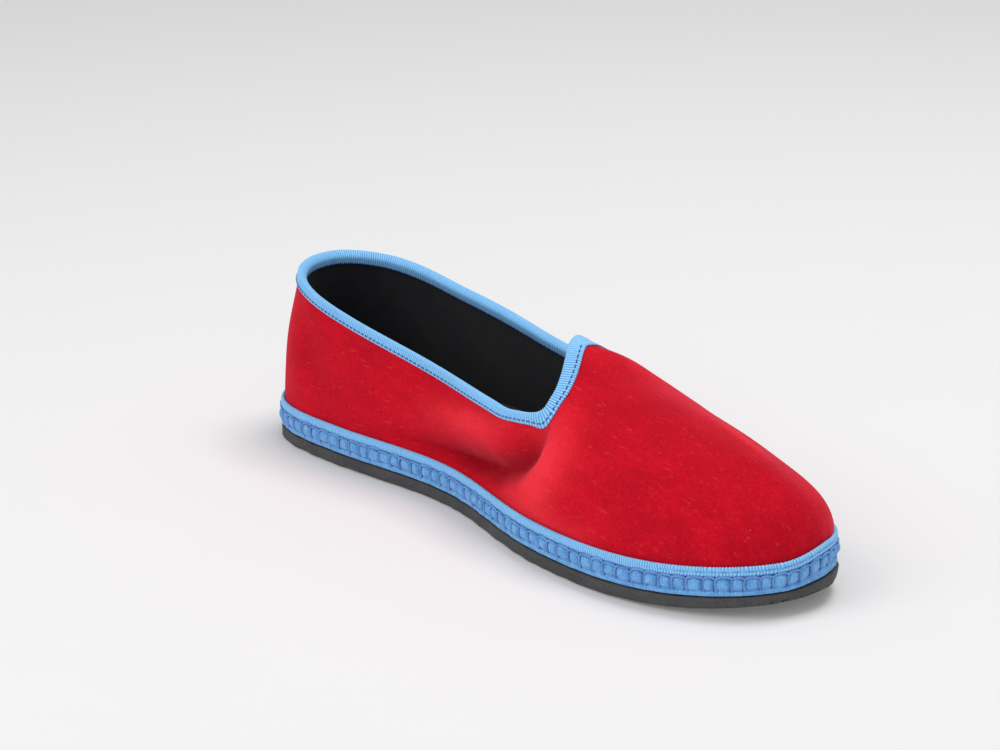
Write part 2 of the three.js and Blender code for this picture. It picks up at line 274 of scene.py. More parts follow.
def outline_at(station, side):
    """Point of the sole's outline."""
    inner = look_up(OUTLINE, "station", "inner", station)
    outer = look_up(OUTLINE, "station", "outer", station)
    half = np.where(side < 0, inner, outer)
    x = LENGTH * (1 - np.cos(np.pi * station)) / 2
    return np.stack([x, side * np.sin(np.pi * station) * half], -1)


def outline_point(station, side, grow):
    """Point of the sole's outline, moved outwards by grow."""
    station, side, grow = np.broadcast_arrays(*(np.asarray(a, float) for a in (station, side, grow)))
    step = 1e-4
    run = unit(outline_at(np.minimum(station + step, 1), side) - outline_at(station - step, side))
    square = np.stack([-run[..., 1], run[..., 0]], -1)
    point = outline_at(station, side) + square * (side * grow)[..., None]
    flat = np.zeros_like(grow)
    point = np.where((station <= 0)[..., None], np.stack([-grow, flat], -1), point)
    return np.where((station >= 1)[..., None], np.stack([LENGTH + grow, flat], -1), point)


def form_point(station, across, grow):
    """Point on the form of the upper. Across runs from -1 at the inner seam to 1 at the outer seam."""
    station, across, grow = np.broadcast_arrays(*(np.asarray(a, float) for a in (station, across, grow)))
    t = np.abs(station)
    v = np.where(station < 0, -across, across)
    side = np.where(v < 0, INNER, OUTER)
    foot = outline_point(t, side, grow - UPPER_INSET)
    shoulder = look_up(WALLS, "station", "shoulder", t)
    inner = look_up(WALLS, "station", "inner", t)
    outer = look_up(WALLS, "station", "outer", t)
    angle = (1 - np.abs(v)) * np.pi / 2
    inwards = 1 - np.maximum(np.cos(angle), 0) ** (2 / shoulder)
    upwards = np.maximum(np.sin(angle), 0) ** (2 / np.where(side < 0, inner, outer))
    ends = [outline_point(t, end, -UPPER_INSET)[..., 0] for end in SIDES]
    ridge_x = sum(ends) / 2 - look_up(WALLS, "station", "setback", t)
    ridge_y = look_up(RIDGE, "along", "aside", ridge_x)
    x = foot[..., 0] + (ridge_x - foot[..., 0]) * inwards
    y = foot[..., 1] + (ridge_y - foot[..., 1]) * inwards
    floor = UPPER_FOOT + toe_lift(x)
    top = look_up(RIDGE, "along", "height", x) + grow
    return np.stack([x, y, floor + (top - floor) * upwards], -1)


def near_lines(points, table):
    """Sum of what soft lines on the form give to points near them."""
    total = np.zeros(len(points))
    steps = np.linspace(0, 1, 60)
    for strength, width, stations, across in table:
        knots = np.linspace(0, 1, len(stations))
        line = form_point(np.interp(steps, knots, stations), np.interp(steps, knots, across), 0)
        away = np.linalg.norm(points[:, None, :] - line[None, :, :], axis=-1)
        near = bell(away, 0, width) * np.sin(np.pi * steps) ** 0.6
        total += strength * near.max(axis=1)
    return total


def crease(station, across):
    """How far the velvet stands out from the plain form, in millimetres."""
    shape = np.shape(station)
    station = np.ravel(station)
    across = np.ravel(across)
    points = form_point(station, across, 0)
    out = near_lines(points, FOLDS)
    x, y, z = points.T
    out += 0.22 * np.sin(x / 13 + 1.3) * np.sin(z / 11 + y / 17) + 0.12 * np.sin(x / 6.1 + z / 5.3 + y / 9.7)
    rise = z - UPPER_FOOT - toe_lift(x)
    gather = np.exp(-rise / 4.5) * fade(0.55, 0.8, station)
    out += 0.35 * gather * np.sin(y / 1.15 + 1.7 * np.sin(y / 8)) * fade(1.5, 4, rise)
    return (out * fade(1.0, 6.5, rise)).reshape(shape)


def velvet_point(station, across, grow):
    """Point of the creased upper."""
    return form_point(station, across, grow + crease(station, across))


def topline(side, count):
    """Half of the topline, heel to tongue tip, evenly stepped along the curve."""
    t = np.array(TOPLINE["station"])
    v = np.array(TOPLINE["across"])
    knots = np.stack([np.r_[-t[1], t, t[-2]], np.r_[v[1], v, -v[-2]]], -1)
    u = np.linspace(1, len(knots) - 2, 2001)
    i = np.minimum(u.astype(int), len(knots) - 3)
    s = (u - i)[:, None]
    a, b, c, d = (knots[i + k] for k in (-1, 0, 1, 2))
    trail = b + s * (c - a + s * (2 * a - 5 * b + 4 * c - d + s * (3 * b - a - 3 * c + d))) / 2
    trail = np.maximum(trail, 0)
    run = lengths_along(form_point(trail[:, 0], side * trail[:, 1], 0))
    goal = np.linspace(0, run[-1], count + 1)
    return np.interp(goal, run, trail[:, 0]), side * np.interp(goal, run, trail[:, 1])


def place_below(station, across, tangent, side, distance):
    """Places reached by going a distance over the form from the topline into the cloth."""
    small = 1e-3
    strides = 4
    for _ in range(strides):
        by_station = form_point(station + small, across, 0) - form_point(station - small, across, 0)
        by_across = form_point(station, across + small, 0) - form_point(station, across - small, 0)
        by_station = by_station / (2 * small)
        by_across = by_across / (2 * small)
        normal = unit(np.cross(by_station, by_across))
        inwards = unit(np.cross(normal, tangent)) * (side * distance / strides)[..., None]
        a = np.sum(by_station * by_station, -1)
        b = np.sum(by_station * by_across, -1)
        c = np.sum(by_across * by_across, -1)
        p = np.sum(inwards * by_station, -1)
        q = np.sum(inwards * by_across, -1)
        station = station + (c * p - b * q) / (a * c - b * b)
        across = across + (a * q - b * p) / (a * c - b * b)
    return np.maximum(station, 0), side * np.maximum(side * across, 0)


def edge_path(count):
    """Stations, sides and running lengths of points spaced evenly round the sole, from the heel by the inner side."""
    turn = np.linspace(0, 2, 8001)
    station = np.where(turn < 1, turn, 2 - turn)
    side = np.where(turn < 1, INNER, OUTER)
    run = lengths_along(outline_at(station, side))
    along = np.linspace(0, run[-1], count, endpoint=False)
    turn = np.interp(along, run, turn)
    return np.where(turn < 1, turn, 2 - turn), np.where(turn < 1, INNER, OUTER), along


def edge_rise(station, side):
    """Rise of the tape and the hand stitches, which were pulled up on the outer front of the toe."""
    turn = np.where(side < 0, station, 2 - station)
    return TOE_PULL * fade(0.94, 1.05, turn) * (1 - fade(1.1, 1.3, turn))


def off_heel(station):
    """0 at the back of the heel, where the two sides meet, and 1 past it."""
    return fade(0, 0.03, station)


def centre_line():
    """Distances from the heel and middles of the sole there."""
    station = np.linspace(0, 1, 400)
    inner, outer = (outline_at(station, side) for side in SIDES)
    return inner[:, 0], (inner[:, 1] + outer[:, 1]) / 2


def footprint_middle():
    """Shift across that puts the middle of the footprint at zero."""
    inner, outer = (outline_at(np.linspace(0, 1, 2001), side)[:, 1] for side in SIDES)
    return (inner.min() + outer.max()) / 2


ORIGIN = np.array([LENGTH / 2, footprint_middle(), 0])


# Meshes


def grid_faces(columns, rows, first=0, wrap_columns=False, wrap_rows=False, flip=False):
    """Four-sided faces of a grid of points stored column by column."""
    i = np.arange(columns if wrap_columns else columns - 1)
    j = np.arange(rows if wrap_rows else rows - 1)
    i, j = (a.ravel() for a in np.meshgrid(i, j, indexing="ij"))
    next_i = (i + 1) % columns
    next_j = (j + 1) % rows
    quads = np.stack([i * rows + j, next_i * rows + j, next_i * rows + next_j, i * rows + next_j], -1) + first
    return (quads[:, ::-1] if flip else quads).tolist()


def new_object(name, points, faces, material=None, **attributes):
    """Object with a mesh from points in millimetres, with a number or a vector for each point in each attribute."""
    mesh = bpy.data.meshes.new(name)
    mesh.from_pydata(((np.asarray(points) - ORIGIN) * MM).tolist(), [], faces)
    for key, values in attributes.items():
        values = np.ravel(np.asarray(values, np.float32))
        vector = len(values) == 3 * len(points)
        layer = mesh.attributes.new(key, "FLOAT_VECTOR" if vector else "FLOAT", "POINT")
        layer.data.foreach_set("vector" if vector else "value", values)
    if material:
        mesh.materials.append(material)
    piece = bpy.data.objects.new(name, mesh)
    bpy.context.scene.collection.objects.link(piece)
    return piece


def closed_object(name, points, faces, material=None, smooth_angle=None, **attributes):
    """Smooth object with doubled points merged, faces without area dropped and faces turned outwards."""
    piece = new_object(name, points, faces, material, **attributes)
    work = bmesh.new()
    work.from_mesh(piece.data)
    bmesh.ops.remove_doubles(work, verts=work.verts, dist=2e-6)
    bmesh.ops.dissolve_degenerate(work, edges=work.edges, dist=1e-7)
    bmesh.ops.recalc_face_normals(work, faces=work.faces)
    work.to_mesh(piece.data)
    work.free()
    shade(piece, smooth_angle)
    return piece


def tube_object(name, points, material, smooth_angle=None, ring=False, **attributes):
    """Closed object from a grid of points, one section in each column. A ring's last section joins its first."""
    columns, rows = points.shape[:2]
    faces = grid_faces(columns, rows, wrap_columns=ring, wrap_rows=True)
    return closed_object(name, points.reshape(-1, 3), faces, material, smooth_angle, **attributes)


def shade(piece, smooth_angle=None):
    """Smooth shading, with sharp edges above an angle where one is given."""
    piece.data.shade_smooth()
    if smooth_angle is not None:
        piece.data.set_sharp_from_angle(angle=math.radians(smooth_angle))


def bake_modifiers(piece):
    """Turns what the modifiers make into the piece's own mesh."""
    seen = piece.evaluated_get(bpy.context.evaluated_depsgraph_get())
    made = bpy.data.meshes.new_from_object(seen)
    old = piece.data
    piece.modifiers.clear()
    piece.data = made
    bpy.data.meshes.remove(old)
    made.name = piece.name


def hand_over(piece, slot, *nodes):
    """Ties a finished piece to the frame."""
    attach(piece, "root")
    if nodes:
        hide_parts(*nodes)


# Nodes


class Value:
    """A socket of a node tree. Python's operators add Math nodes to it."""

    def __init__(self, nodes, socket):
        self.nodes = nodes
        self.socket = socket

    def math(self, operation, *others):
        return self.nodes.math(operation, self, *others)

    def __add__(self, other):
        return self.math("ADD", other)

    def __sub__(self, other):
        return self.math("SUBTRACT", other)

    def __rsub__(self, other):
        return self.nodes.math("SUBTRACT", other, self)

    def __mul__(self, other):
        return self.math("MULTIPLY", other)

    def __truediv__(self, other):
        return self.math("DIVIDE", other)

    __radd__ = __add__
    __rmul__ = __mul__

    def wave(self, pitch):
        """Runs between 0 and 1, at 1 on each whole pitch."""
        return (self * (2 * math.pi / pitch)).math("COSINE") * 0.5 + 0.5

    def over(self, low, high):
        """Smooth step from 0 at low to 1 at high."""
        sockets = {"Value": self, "From Min": low, "From Max": high}
        return self.nodes.value("ShaderNodeMapRange", sockets, interpolation_type="SMOOTHSTEP")


class Nodes:
    """Adds nodes to a tree."""

    def __init__(self, tree):
        self.tree = tree

    def add(self, kind, sockets=None, **settings):
        """One node, with its settings made first and then the values or links of its sockets."""
        node = self.tree.nodes.new(kind)
        for key, value in settings.items():
            setattr(node, key, value)
        for key, value in (sockets or {}).items():
            self.feed(node.inputs[key], value)
        return node

    def feed(self, socket, value):
        if isinstance(value, Value):
            self.tree.links.new(value.socket, socket)
        else:
            socket.default_value = value

    def value(self, kind, sockets=None, output=0, **settings):
        """One output of a new node."""
        return Value(self, self.add(kind, sockets, **settings).outputs[output])

    def math(self, operation, *inputs):
        return self.value("ShaderNodeMath", dict(enumerate(inputs)), operation=operation)


class Finish(Nodes):
    """A material's nodes."""

    def __init__(self, name):
        self.material = bpy.data.materials.new(name)
        self.material.use_nodes = True
        super().__init__(self.material.node_tree)
        self.shader = next(n for n in self.tree.nodes if n.type == "BSDF_PRINCIPLED")
        self.place = self.value("ShaderNodeTexCoord", None, "Object")

    def attribute(self, name):
        return self.value("ShaderNodeAttribute", None, "Fac", attribute_name=name)

    def stretched(self, scale):
        return self.value("ShaderNodeMapping", {"Vector": self.place, "Scale": scale})

    def noise(self, size, detail=2.0, roughness=0.5, place=None):
        """Noise with marks about a size in millimetres."""
        sockets = {"Vector": place or self.place, "Scale": 1000 / size, "Detail": detail, "Roughness": roughness}
        return self.value("ShaderNodeTexNoise", sockets, "Fac")

    def mix(self, factor, one, other):
        """Colour from one to another. Each is made by nodes or is a plain red, green and blue."""
        one, other = (colour if isinstance(colour, Value) else (*colour, 1) for colour in (one, other))
        return self.value("ShaderNodeMix", {0: factor, 6: one, 7: other}, 2, data_type="RGBA")

    def bump(self, height, distance, strength=1.0):
        """Bump of a distance in millimetres."""
        return self.value("ShaderNodeBump", {"Height": height, "Distance": distance * MM, "Strength": strength})

    def dress(self, **sockets):
        """Feeds the shader and returns the material."""
        for key, value in sockets.items():
            self.feed(self.shader.inputs[key.replace("_", " ")], value)
        return self.material


class Craft(Nodes):
    """A Geometry Nodes tree with named inputs."""

    def __init__(self, name, **inputs):
        super().__init__(bpy.data.node_groups.new(name, "GeometryNodeTree"))
        face = self.tree.interface
        face.new_socket("Geometry", in_out="OUTPUT", socket_type="NodeSocketGeometry")
        face.new_socket("Geometry", in_out="INPUT", socket_type="NodeSocketGeometry")
        self.names = {}
        for key, kind in inputs.items():
            self.names[key] = face.new_socket(key, in_out="INPUT", socket_type="NodeSocket" + kind).identifier
        self.input = self.add("NodeGroupInput")
        self.output = self.add("NodeGroupOutput")

    def given(self, key):
        return Value(self, self.input.outputs[key])

    def attribute(self, name, kind="FLOAT"):
        return self.value("GeometryNodeInputNamedAttribute", {"Name": name}, "Attribute", data_type=kind)

    def end(self, geometry):
        """Closes the tree with realised and painted geometry."""
        real = self.value("GeometryNodeRealizeInstances", {"Geometry": geometry})
        paint = self.value("GeometryNodeSetMaterial", {"Geometry": real, "Material": self.given("Material")})
        self.feed(self.output.inputs[0], paint)

    def run(self, piece, **values):
        """Makes the piece's mesh with this tree."""
        modifier = piece.modifiers.new(self.tree.name, "NODES")
        modifier.node_group = self.tree
        for key, value in values.items():
            modifier[self.names[key]] = value
        bake_modifiers(piece)
        shade(piece)


def raise_ribs(piece, trim, material):
    """Raises ribs across a ribbon, square to its running length."""
    craft = Craft("Ribbing", Pitch="Float", Height="Float", Material="Material")
    turn = craft.attribute("along") / craft.given("Pitch")
    rib = (turn * (2 * math.pi)).math("COSINE") * 0.5
    lift = rib * craft.given("Height") * craft.attribute("ribbed")
    normal = craft.value("GeometryNodeInputNormal")
    offset = craft.value("ShaderNodeVectorMath", {0: normal, "Scale": lift}, operation="SCALE")
    craft.end(craft.value("GeometryNodeSetPosition", {"Geometry": craft.given("Geometry"), "Offset": offset}))
    craft.run(piece, Pitch=trim.rib_pitch / MM, Height=trim.rib_height, Material=material)


def sew(name, points, tangents, outwards, stretch, shape, lean, material):
    """One mesh of stitches on points in millimetres, each turned in the cloth by up to the lean, in radians."""
    craft = Craft("Sewing", Stitch="Object", Lean="Float", Seed="Int", Material="Material")
    align = "FunctionNodeAlignRotationToVector"
    lie = craft.value(align, {"Vector": craft.attribute("tangent", "FLOAT_VECTOR")}, axis="X")
    sockets = {"Rotation": lie, "Vector": craft.attribute("outwards", "FLOAT_VECTOR")}
    turn = craft.value(align, sockets, axis="Y", pivot_axis="X")
    limit = craft.given("Lean")
    sockets = {"Min": -1 * limit, "Max": limit, "Seed": craft.given("Seed")}
    chance = craft.value("FunctionNodeRandomValue", sockets, 1, data_type="FLOAT")
    swing = craft.value("FunctionNodeAxisAngleToRotation", {"Axis": (0, 1, 0), "Angle": chance})
    sockets = {"Rotation": turn, "Rotate By": swing}
    turn = craft.value("FunctionNodeRotateRotation", sockets, rotation_space="LOCAL")
    sockets = {"X": craft.attribute("stretch"), "Y": 1.0, "Z": 1 + chance * 1.6}
    size = craft.value("ShaderNodeCombineXYZ", sockets)
    stitch = craft.value("GeometryNodeObjectInfo", {"Object": craft.given("Stitch")}, "Geometry")
    sockets = {"Points": craft.given("Geometry"), "Instance": stitch, "Rotation": turn, "Scale": size}
    craft.end(craft.value("GeometryNodeInstanceOnPoints", sockets))
    piece = new_object(name, points, [], tangent=tangents, outwards=outwards, stretch=stretch)
    craft.run(piece, Stitch=shape, Lean=lean, Seed=THREAD_SEED, Material=material)
    bpy.data.objects.remove(shape)
    return piece


def straight_stitch(*half, middle=()):
    """Path of a stitch along the seam, from the distances and heights of its half and the height of its middle."""
    start = [(-x, y, 0) for x, y in half]
    end = [(x, y, 0) for x, y in reversed(half)]
    return start + [(0, y, 0) for y in middle] + end


def thread_shape(name, path, radius, sides=6, flatness=1.0, thin_ends=True):
    """One stitch as a tube round a path in millimetres: X along the seam, Y out of the cloth, Z across the seam."""
    path = np.asarray(path, float)
    run = unit(np.gradient(path, axis=0))
    angle = np.arange(sides) * 2 * np.pi / sides
    rings = []
    for k, point in enumerate(path):
        aside = unit(np.cross(run[k], np.array([0, 1.0, 0]) + 1e-6))
        up = np.cross(aside, run[k])
        size = radius * (0.55 if thin_ends and k in (0, len(path) - 1) else 1.0)
        ring = np.outer(np.cos(angle), aside) + np.outer(np.sin(angle), up) * flatness
        rings.append(point + ring * size)
    points = np.concatenate(rings)
    faces = grid_faces(len(path), sides, wrap_rows=True)
    faces += [list(range(sides)), [len(points) - 1 - k for k in range(sides)]]
    return closed_object(name, points + ORIGIN, faces)


# Finishes


def velvet_finish(velvet):
    """Short cotton pile: brushed mottling, fine wale lines, nap and a little lint, with painted highlights of its
    sheen and painted shade in its folds.
    """
    finish = Finish("slipper_velvet")
    wale = finish.attribute("wale")
    cloudy = finish.noise(26, 2)
    streaks = finish.noise(7, 3, 0.6, finish.stretched((0.45, 1.3, 1.3)))
    grain = finish.noise(1.4, 2, 0.6)
    nap = finish.noise(0.55, 2, 0.65)
    lines = (wale + finish.noise(3.0, 1) * 0.5).wave(velvet.wale_pitch / MM) * finish.attribute("lined")
    shade_of_pile = (cloudy * 0.4 + streaks * 0.4 + grain * 0.45 + nap * 0.55 + lines * 0.26).over(0.76, 1.32)
    colour = finish.mix(shade_of_pile, velvet.deep_colour, velvet.colour)
    # Painted highlight: the brushed patches turn lighter where the sheen catches the light, broken up by the pile's
    # streaks and grain.
    highlight_breakup = streaks * 0.8 + grain * 0.6 + lines * 0.35 + 0.15
    brushed = (finish.attribute("brushed") * highlight_breakup).math("MINIMUM", 1.0)
    colour = finish.mix(brushed * 0.95, colour, velvet.painted_highlight_colour)
    # Painted shade: the velvet darkens towards the shadow colour at the bottom of the folds.
    colour = finish.mix(finish.attribute("sunk") * 0.75, colour, velvet.shadow_colour)
    cells = finish.add("ShaderNodeTexVoronoi", {"Vector": finish.stretched((1, 0.4, 0.8)), "Scale": 420.0})
    from_cell, cell = (Value(finish, cells.outputs[key]) for key in ("Distance", "Position"))
    chance = finish.value("ShaderNodeTexWhiteNoise", {"Vector": cell}, "Value")
    lint = (1 - from_cell.over(0.02, 0.085)) * chance.math("GREATER_THAN", 0.7) * 0.34
    fibres = finish.noise(0.9, 1, 0.5, finish.stretched((0.14, 1, 0.8))).over(0.62, 0.8)
    colour = finish.mix(fibres * 0.2, colour, (0.95, 0.08, 0.1))
    colour = finish.mix(lint, colour, (0.85, 0.42, 0.42))
    height = nap * 0.75 + grain * 0.35 + lines * 0.25 + lint * 0.6
    return finish.dress(
        Base_Color=colour,
        Roughness=nap * 0.2 + 0.78,
        Specular_IOR_Level=0.06,
        Sheen_Weight=velvet.sheen,
        Sheen_Roughness=0.35,
        Sheen_Tint=(*velvet.sheen_colour, 1),
        Normal=finish.bump(height, 0.2, 0.85),
    )


def ribbon_finish(trim):
    """Ribbed cotton ribbon, with painted shade in the grooves between its ribs and in the gaps between the tape's
    knots.
    """
    finish = Finish("ribbed_ribbon")
    ribbed = finish.attribute("ribbed").math("MINIMUM", 1.0)
    rib = finish.attribute("along").wave(trim.rib_pitch / MM) * ribbed + (1 - ribbed) * 0.6
    grain = finish.noise(0.35, 2, 0.6)
    wear = finish.noise(11, 3)
    fleck = finish.noise(1.1, 2)
    tone = (rib * 0.75 + grain * 0.3 + wear * 0.2 + fleck * 0.3).over(0.1, 1.25)
    # Painted shade: darker in the grooves and lighter on the ribs.
    colour = finish.mix(tone, trim.groove_shade_and_weave_colour, trim.ribbon_colour)
    # Painted shade in the gaps between the tape's knots.
    colour = finish.mix(finish.attribute("sewn") * 0.85, colour, trim.painted_shade_colour)
    return finish.dress(
        Base_Color=colour,
        Roughness=0.86 - rib * 0.16,
        Specular_IOR_Level=0.3,
        Sheen_Weight=0.25,
        Sheen_Roughness=0.5,
        Sheen_Tint=(0.75, 0.87, 1, 1),
        Normal=finish.bump(rib * 0.7 + grain * 0.5, 0.1, 0.7),
    )


def edge_cloth_finish(trim):
    """Plain woven cotton on the edge of the midsole, darker where its weave and crumples are low, with painted shade
    in its creases.
    """
    finish = Finish("edge_cloth")
    slub = finish.noise(1.6, 2)
    across = (finish.attribute("height") + slub * 0.5).wave(1.0)
    along = (finish.attribute("along") + slub * 0.5).wave(1.05)
    weave = (along - 0.5) * (across - 0.5) * 1.6 + along * 0.3 + across * 0.3 + 0.2
    grain = finish.noise(0.5, 2, 0.6)
    wear = finish.noise(6, 3)
    crumple = finish.noise(2.2, 3, 0.6)
    painted_crease_shade = finish.attribute("crease")
    tone = (weave * 0.4 + grain * 0.35 + wear * 0.3 + crumple * 0.9).over(0.5, 1.4)
    # Darker where the weave and crumples are low.
    colour = finish.mix(tone, trim.groove_shade_and_weave_colour, trim.cloth_colour)
    # Painted shade in the creases between the puffed cells, at their feet and under the bar.
    colour = finish.mix(painted_crease_shade * 0.8, colour, trim.painted_shade_colour)
    return finish.dress(
        Base_Color=colour,
        Roughness=0.92 - grain * 0.12,
        Specular_IOR_Level=0.25,
        Sheen_Weight=0.2,
        Sheen_Roughness=0.5,
        Normal=finish.bump(weave * 0.6 + grain * 0.6 + crumple * 5.0, 0.24, 1.0),
    )


def thread_finish(name, colour, shadow, gloss):
    """Twisted sewing thread."""
    finish = Finish(name)
    strand = finish.noise(0.3, 2, 0.6)
    wear = finish.noise(4, 2)
    tone = (strand * 0.7 + wear * 0.5).over(0.3, 0.95)
    return finish.dress(
        Base_Color=finish.mix(tone, shadow, colour),
        Roughness=gloss + strand * 0.2,
        Specular_IOR_Level=0.35,
        Normal=finish.bump(strand, 0.1, 0.7),
    )


def rubber_finish(sole):
    """Old tyre rubber: dark grey, matt and a little dusty."""
    finish = Finish("tyre_rubber")
    grain = finish.noise(0.6, 3, 0.6)
    dust = finish.noise(14, 4, 0.6)
    scuff = finish.noise(5, 4, 0.7, finish.stretched((0.25, 1, 1)))
    pits = finish.noise(1.7, 3, 0.7)
    tone = (dust * 0.5 + scuff * 0.5 + grain * 0.2 + pits * 0.35).over(0.45, 1.1)
    return finish.dress(
        Base_Color=finish.mix(tone, sole.rubber_dark, sole.rubber_colour),
        Roughness=0.5 + scuff * 0.25,
        Specular_IOR_Level=0.4,
        Normal=finish.bump(grain * 0.9 + scuff * 1.5 + pits * 3.5, 0.28, 1.0),
    )


def lining_finish():
    """Black cotton twill."""
    finish = Finish("black_lining")
    apart = finish.add("ShaderNodeSeparateXYZ", {"Vector": finish.place}).outputs
    x, y, z = (Value(finish, socket) for socket in apart)
    twill = (x + y + z).wave(0.7 * MM)
    grain = finish.noise(0.5, 2, 0.6)
    fluff = finish.noise(7, 3)
    tone = (twill * 0.35 + grain * 0.5 + fluff * 0.4).over(0.3, 1.1)
    return finish.dress(
        Base_Color=finish.mix(tone, (0.006, 0.006, 0.008), (0.02, 0.02, 0.024)),
        Roughness=0.85 + grain * 0.12,
        Specular_IOR_Level=0.25,
        Sheen_Weight=0.1,
        Sheen_Roughness=0.5,
        Normal=finish.bump(twill * 0.5 + grain * 0.6, 0.1, 0.8),
    )


def floor_finish(stage):
    """Pale studio table, lit through from below."""
    finish = Finish("studio_floor")
    grain = finish.noise(60, 3)
    colour = tuple(stage.floor_colour)
    dimmer = tuple(0.985 * c for c in colour)
    return finish.dress(
        Base_Color=finish.mix(grain, dimmer, colour),
        Roughness=0.9,
        Specular_IOR_Level=0.1,
        Emission_Color=(1, 0.995, 1, 1),
        Emission_Strength=stage.floor_glow,
    )


# Settings


def number_setting(name, description, default, **more):
    return FloatProperty(name=name, description=description, default=default, **{"min": 0.0, **more})


def length_setting(name, description, millimetres):
    return number_setting(name, description, millimetres * MM, subtype="DISTANCE", unit="LENGTH")


def colour_setting(name, description, default):
    return FloatVectorProperty(
        name=name, description=description, default=default, subtype="COLOR", size=3, min=0.0, max=1.0
    )


class VelvetSettings(bpy.types.PropertyGroup):
    """Velvet of the upper"""

    colour: colour_setting("Colour", "Velvet where the pile faces the light", (0.7, 0.006, 0.022))
    deep_colour: colour_setting("Deep colour", "Velvet where the pile is brushed away", (0.455, 0.0032, 0.0135))
    # Painted highlight of the velvet's sheen.
    painted_highlight_colour: colour_setting("Light colour", "Velvet brushed towards the light", (0.98, 0.035, 0.055))
    shadow_colour: colour_setting("Shadow colour", "Velvet at the bottom of a fold", (0.2, 0.001, 0.006))
    sheen_colour: colour_setting("Sheen colour", "Soft light on the tips of the pile", (1.0, 0.1, 0.16))
    sheen: number_setting("Sheen", "Strength of the sheen", 0.9, max=1.0, subtype="FACTOR")
    wale_pitch: length_setting("Wale pitch", "Distance between the fine lines of the weave", 0.65)
    thickness: length_setting("Thickness", "Velvet and its backing", 1.2)


class TrimSettings(bpy.types.PropertyGroup):
    """Ribbon, edge cloth and their stitches"""

    ribbon_colour: colour_setting("Ribbon colour", "Ribs of the ribbon", (0.31, 0.68, 1.0))
    # Painted shade of the ribbon's grooves; also the darker tone of the edge cloth, where its weave and crumples are
    # low.
    groove_shade_and_weave_colour: colour_setting("Groove colour", "Between the ribs", (0.065, 0.27, 0.71))
    cloth_colour: colour_setting("Cloth colour", "Edge of the midsole", (0.235, 0.57, 0.94))
    # Painted shade in the creases of the edge cloth and in the gaps between the tape's knots.
    painted_shade_colour: colour_setting("Crease colour", "Where the hand stitches pull the cloth in", (0.03, 0.11, 0.36))
    thread_colour: colour_setting("Thread colour", "Stitches of the cloth edge", (0.21, 0.45, 0.85))
    seam_colour: colour_setting("Seam colour", "Machine stitches of the binding", (0.05, 0.12, 0.42))
    rib_pitch: length_setting("Rib pitch", "Distance between the ribs of the ribbon", 0.88)
    rib_height: length_setting("Rib height", "Rise of a rib", 0.16)
    binding_width: length_setting("Binding width", "Ribbon that shows outside the quarters", 3.3)
    tongue_width: length_setting("Tongue width", "Ribbon that shows outside the tongue", 5.2)
    seam_pitch: length_setting("Seam pitch", "Distance between machine stitches", 2.2)
    stitch_pitch: length_setting("Stitch pitch", "Distance between the hand stitches of the cloth edge", 5.6)
    puff: length_setting("Puff", "Rise of the cloth between two hand stitches", 1.5)


class SoleSettings(bpy.types.PropertyGroup):
    """Rubber sole and its stitches"""

    rubber_colour: colour_setting("Rubber colour", "Dusty rubber", (0.085, 0.085, 0.087))
    rubber_dark: colour_setting("Dark rubber", "Clean rubber", (0.036, 0.036, 0.038))
    thread_colour: colour_setting("Thread colour", "Waxed thread", (0.8, 0.78, 0.73))
    groove_depth: length_setting("Groove depth", "Depth of the tread", 1.4)
    stitch_pitch: length_setting("Stitch pitch", "Distance between the waxed stitches", 7.7)
    stitch_gap: length_setting("Stitch gap", "Rubber between two waxed stitches", 0.9)
    rows: IntProperty(name="Rows", description="Rows of stitches round the sole", default=5, min=1, max=5)


class StageSettings(bpy.types.PropertyGroup):
    """Floor, light and camera"""

    floor_colour: colour_setting("Floor colour", "Studio table", (0.74, 0.736, 0.74))
    floor_glow: number_setting("Floor glow", "Light through the table", 0.1)
    key_power: number_setting("Key power", "Soft light from above", 11, unit="POWER")
    side_power: number_setting("Side power", "Soft light from the inner side", 7, unit="POWER")
    fill_power: number_setting("Fill power", "Soft light from the camera's side", 5, unit="POWER")
    surround: number_setting("Surround", "Even light of the studio", 0.46)
    lens: number_setting("Lens", "Focal length", 110.6, min=1.0, unit="CAMERA")


# Pieces


def wall_places(side, rim_steps, vamp_steps, rows):
    """Places of one half of the upper, heel to toe and seam to top."""
    station, across = topline(side, rim_steps)
    vamp = np.linspace(station[-1], 1, vamp_steps + 1)[1:]
    station = np.r_[station, vamp]
    across = np.r_[across, np.zeros(vamp_steps)]
    left = (1 - np.linspace(0, 1, rows + 1)) ** 1.2
    return np.repeat(station[:, None], rows + 1, 1), across[:, None] + (side - across)[:, None] * left


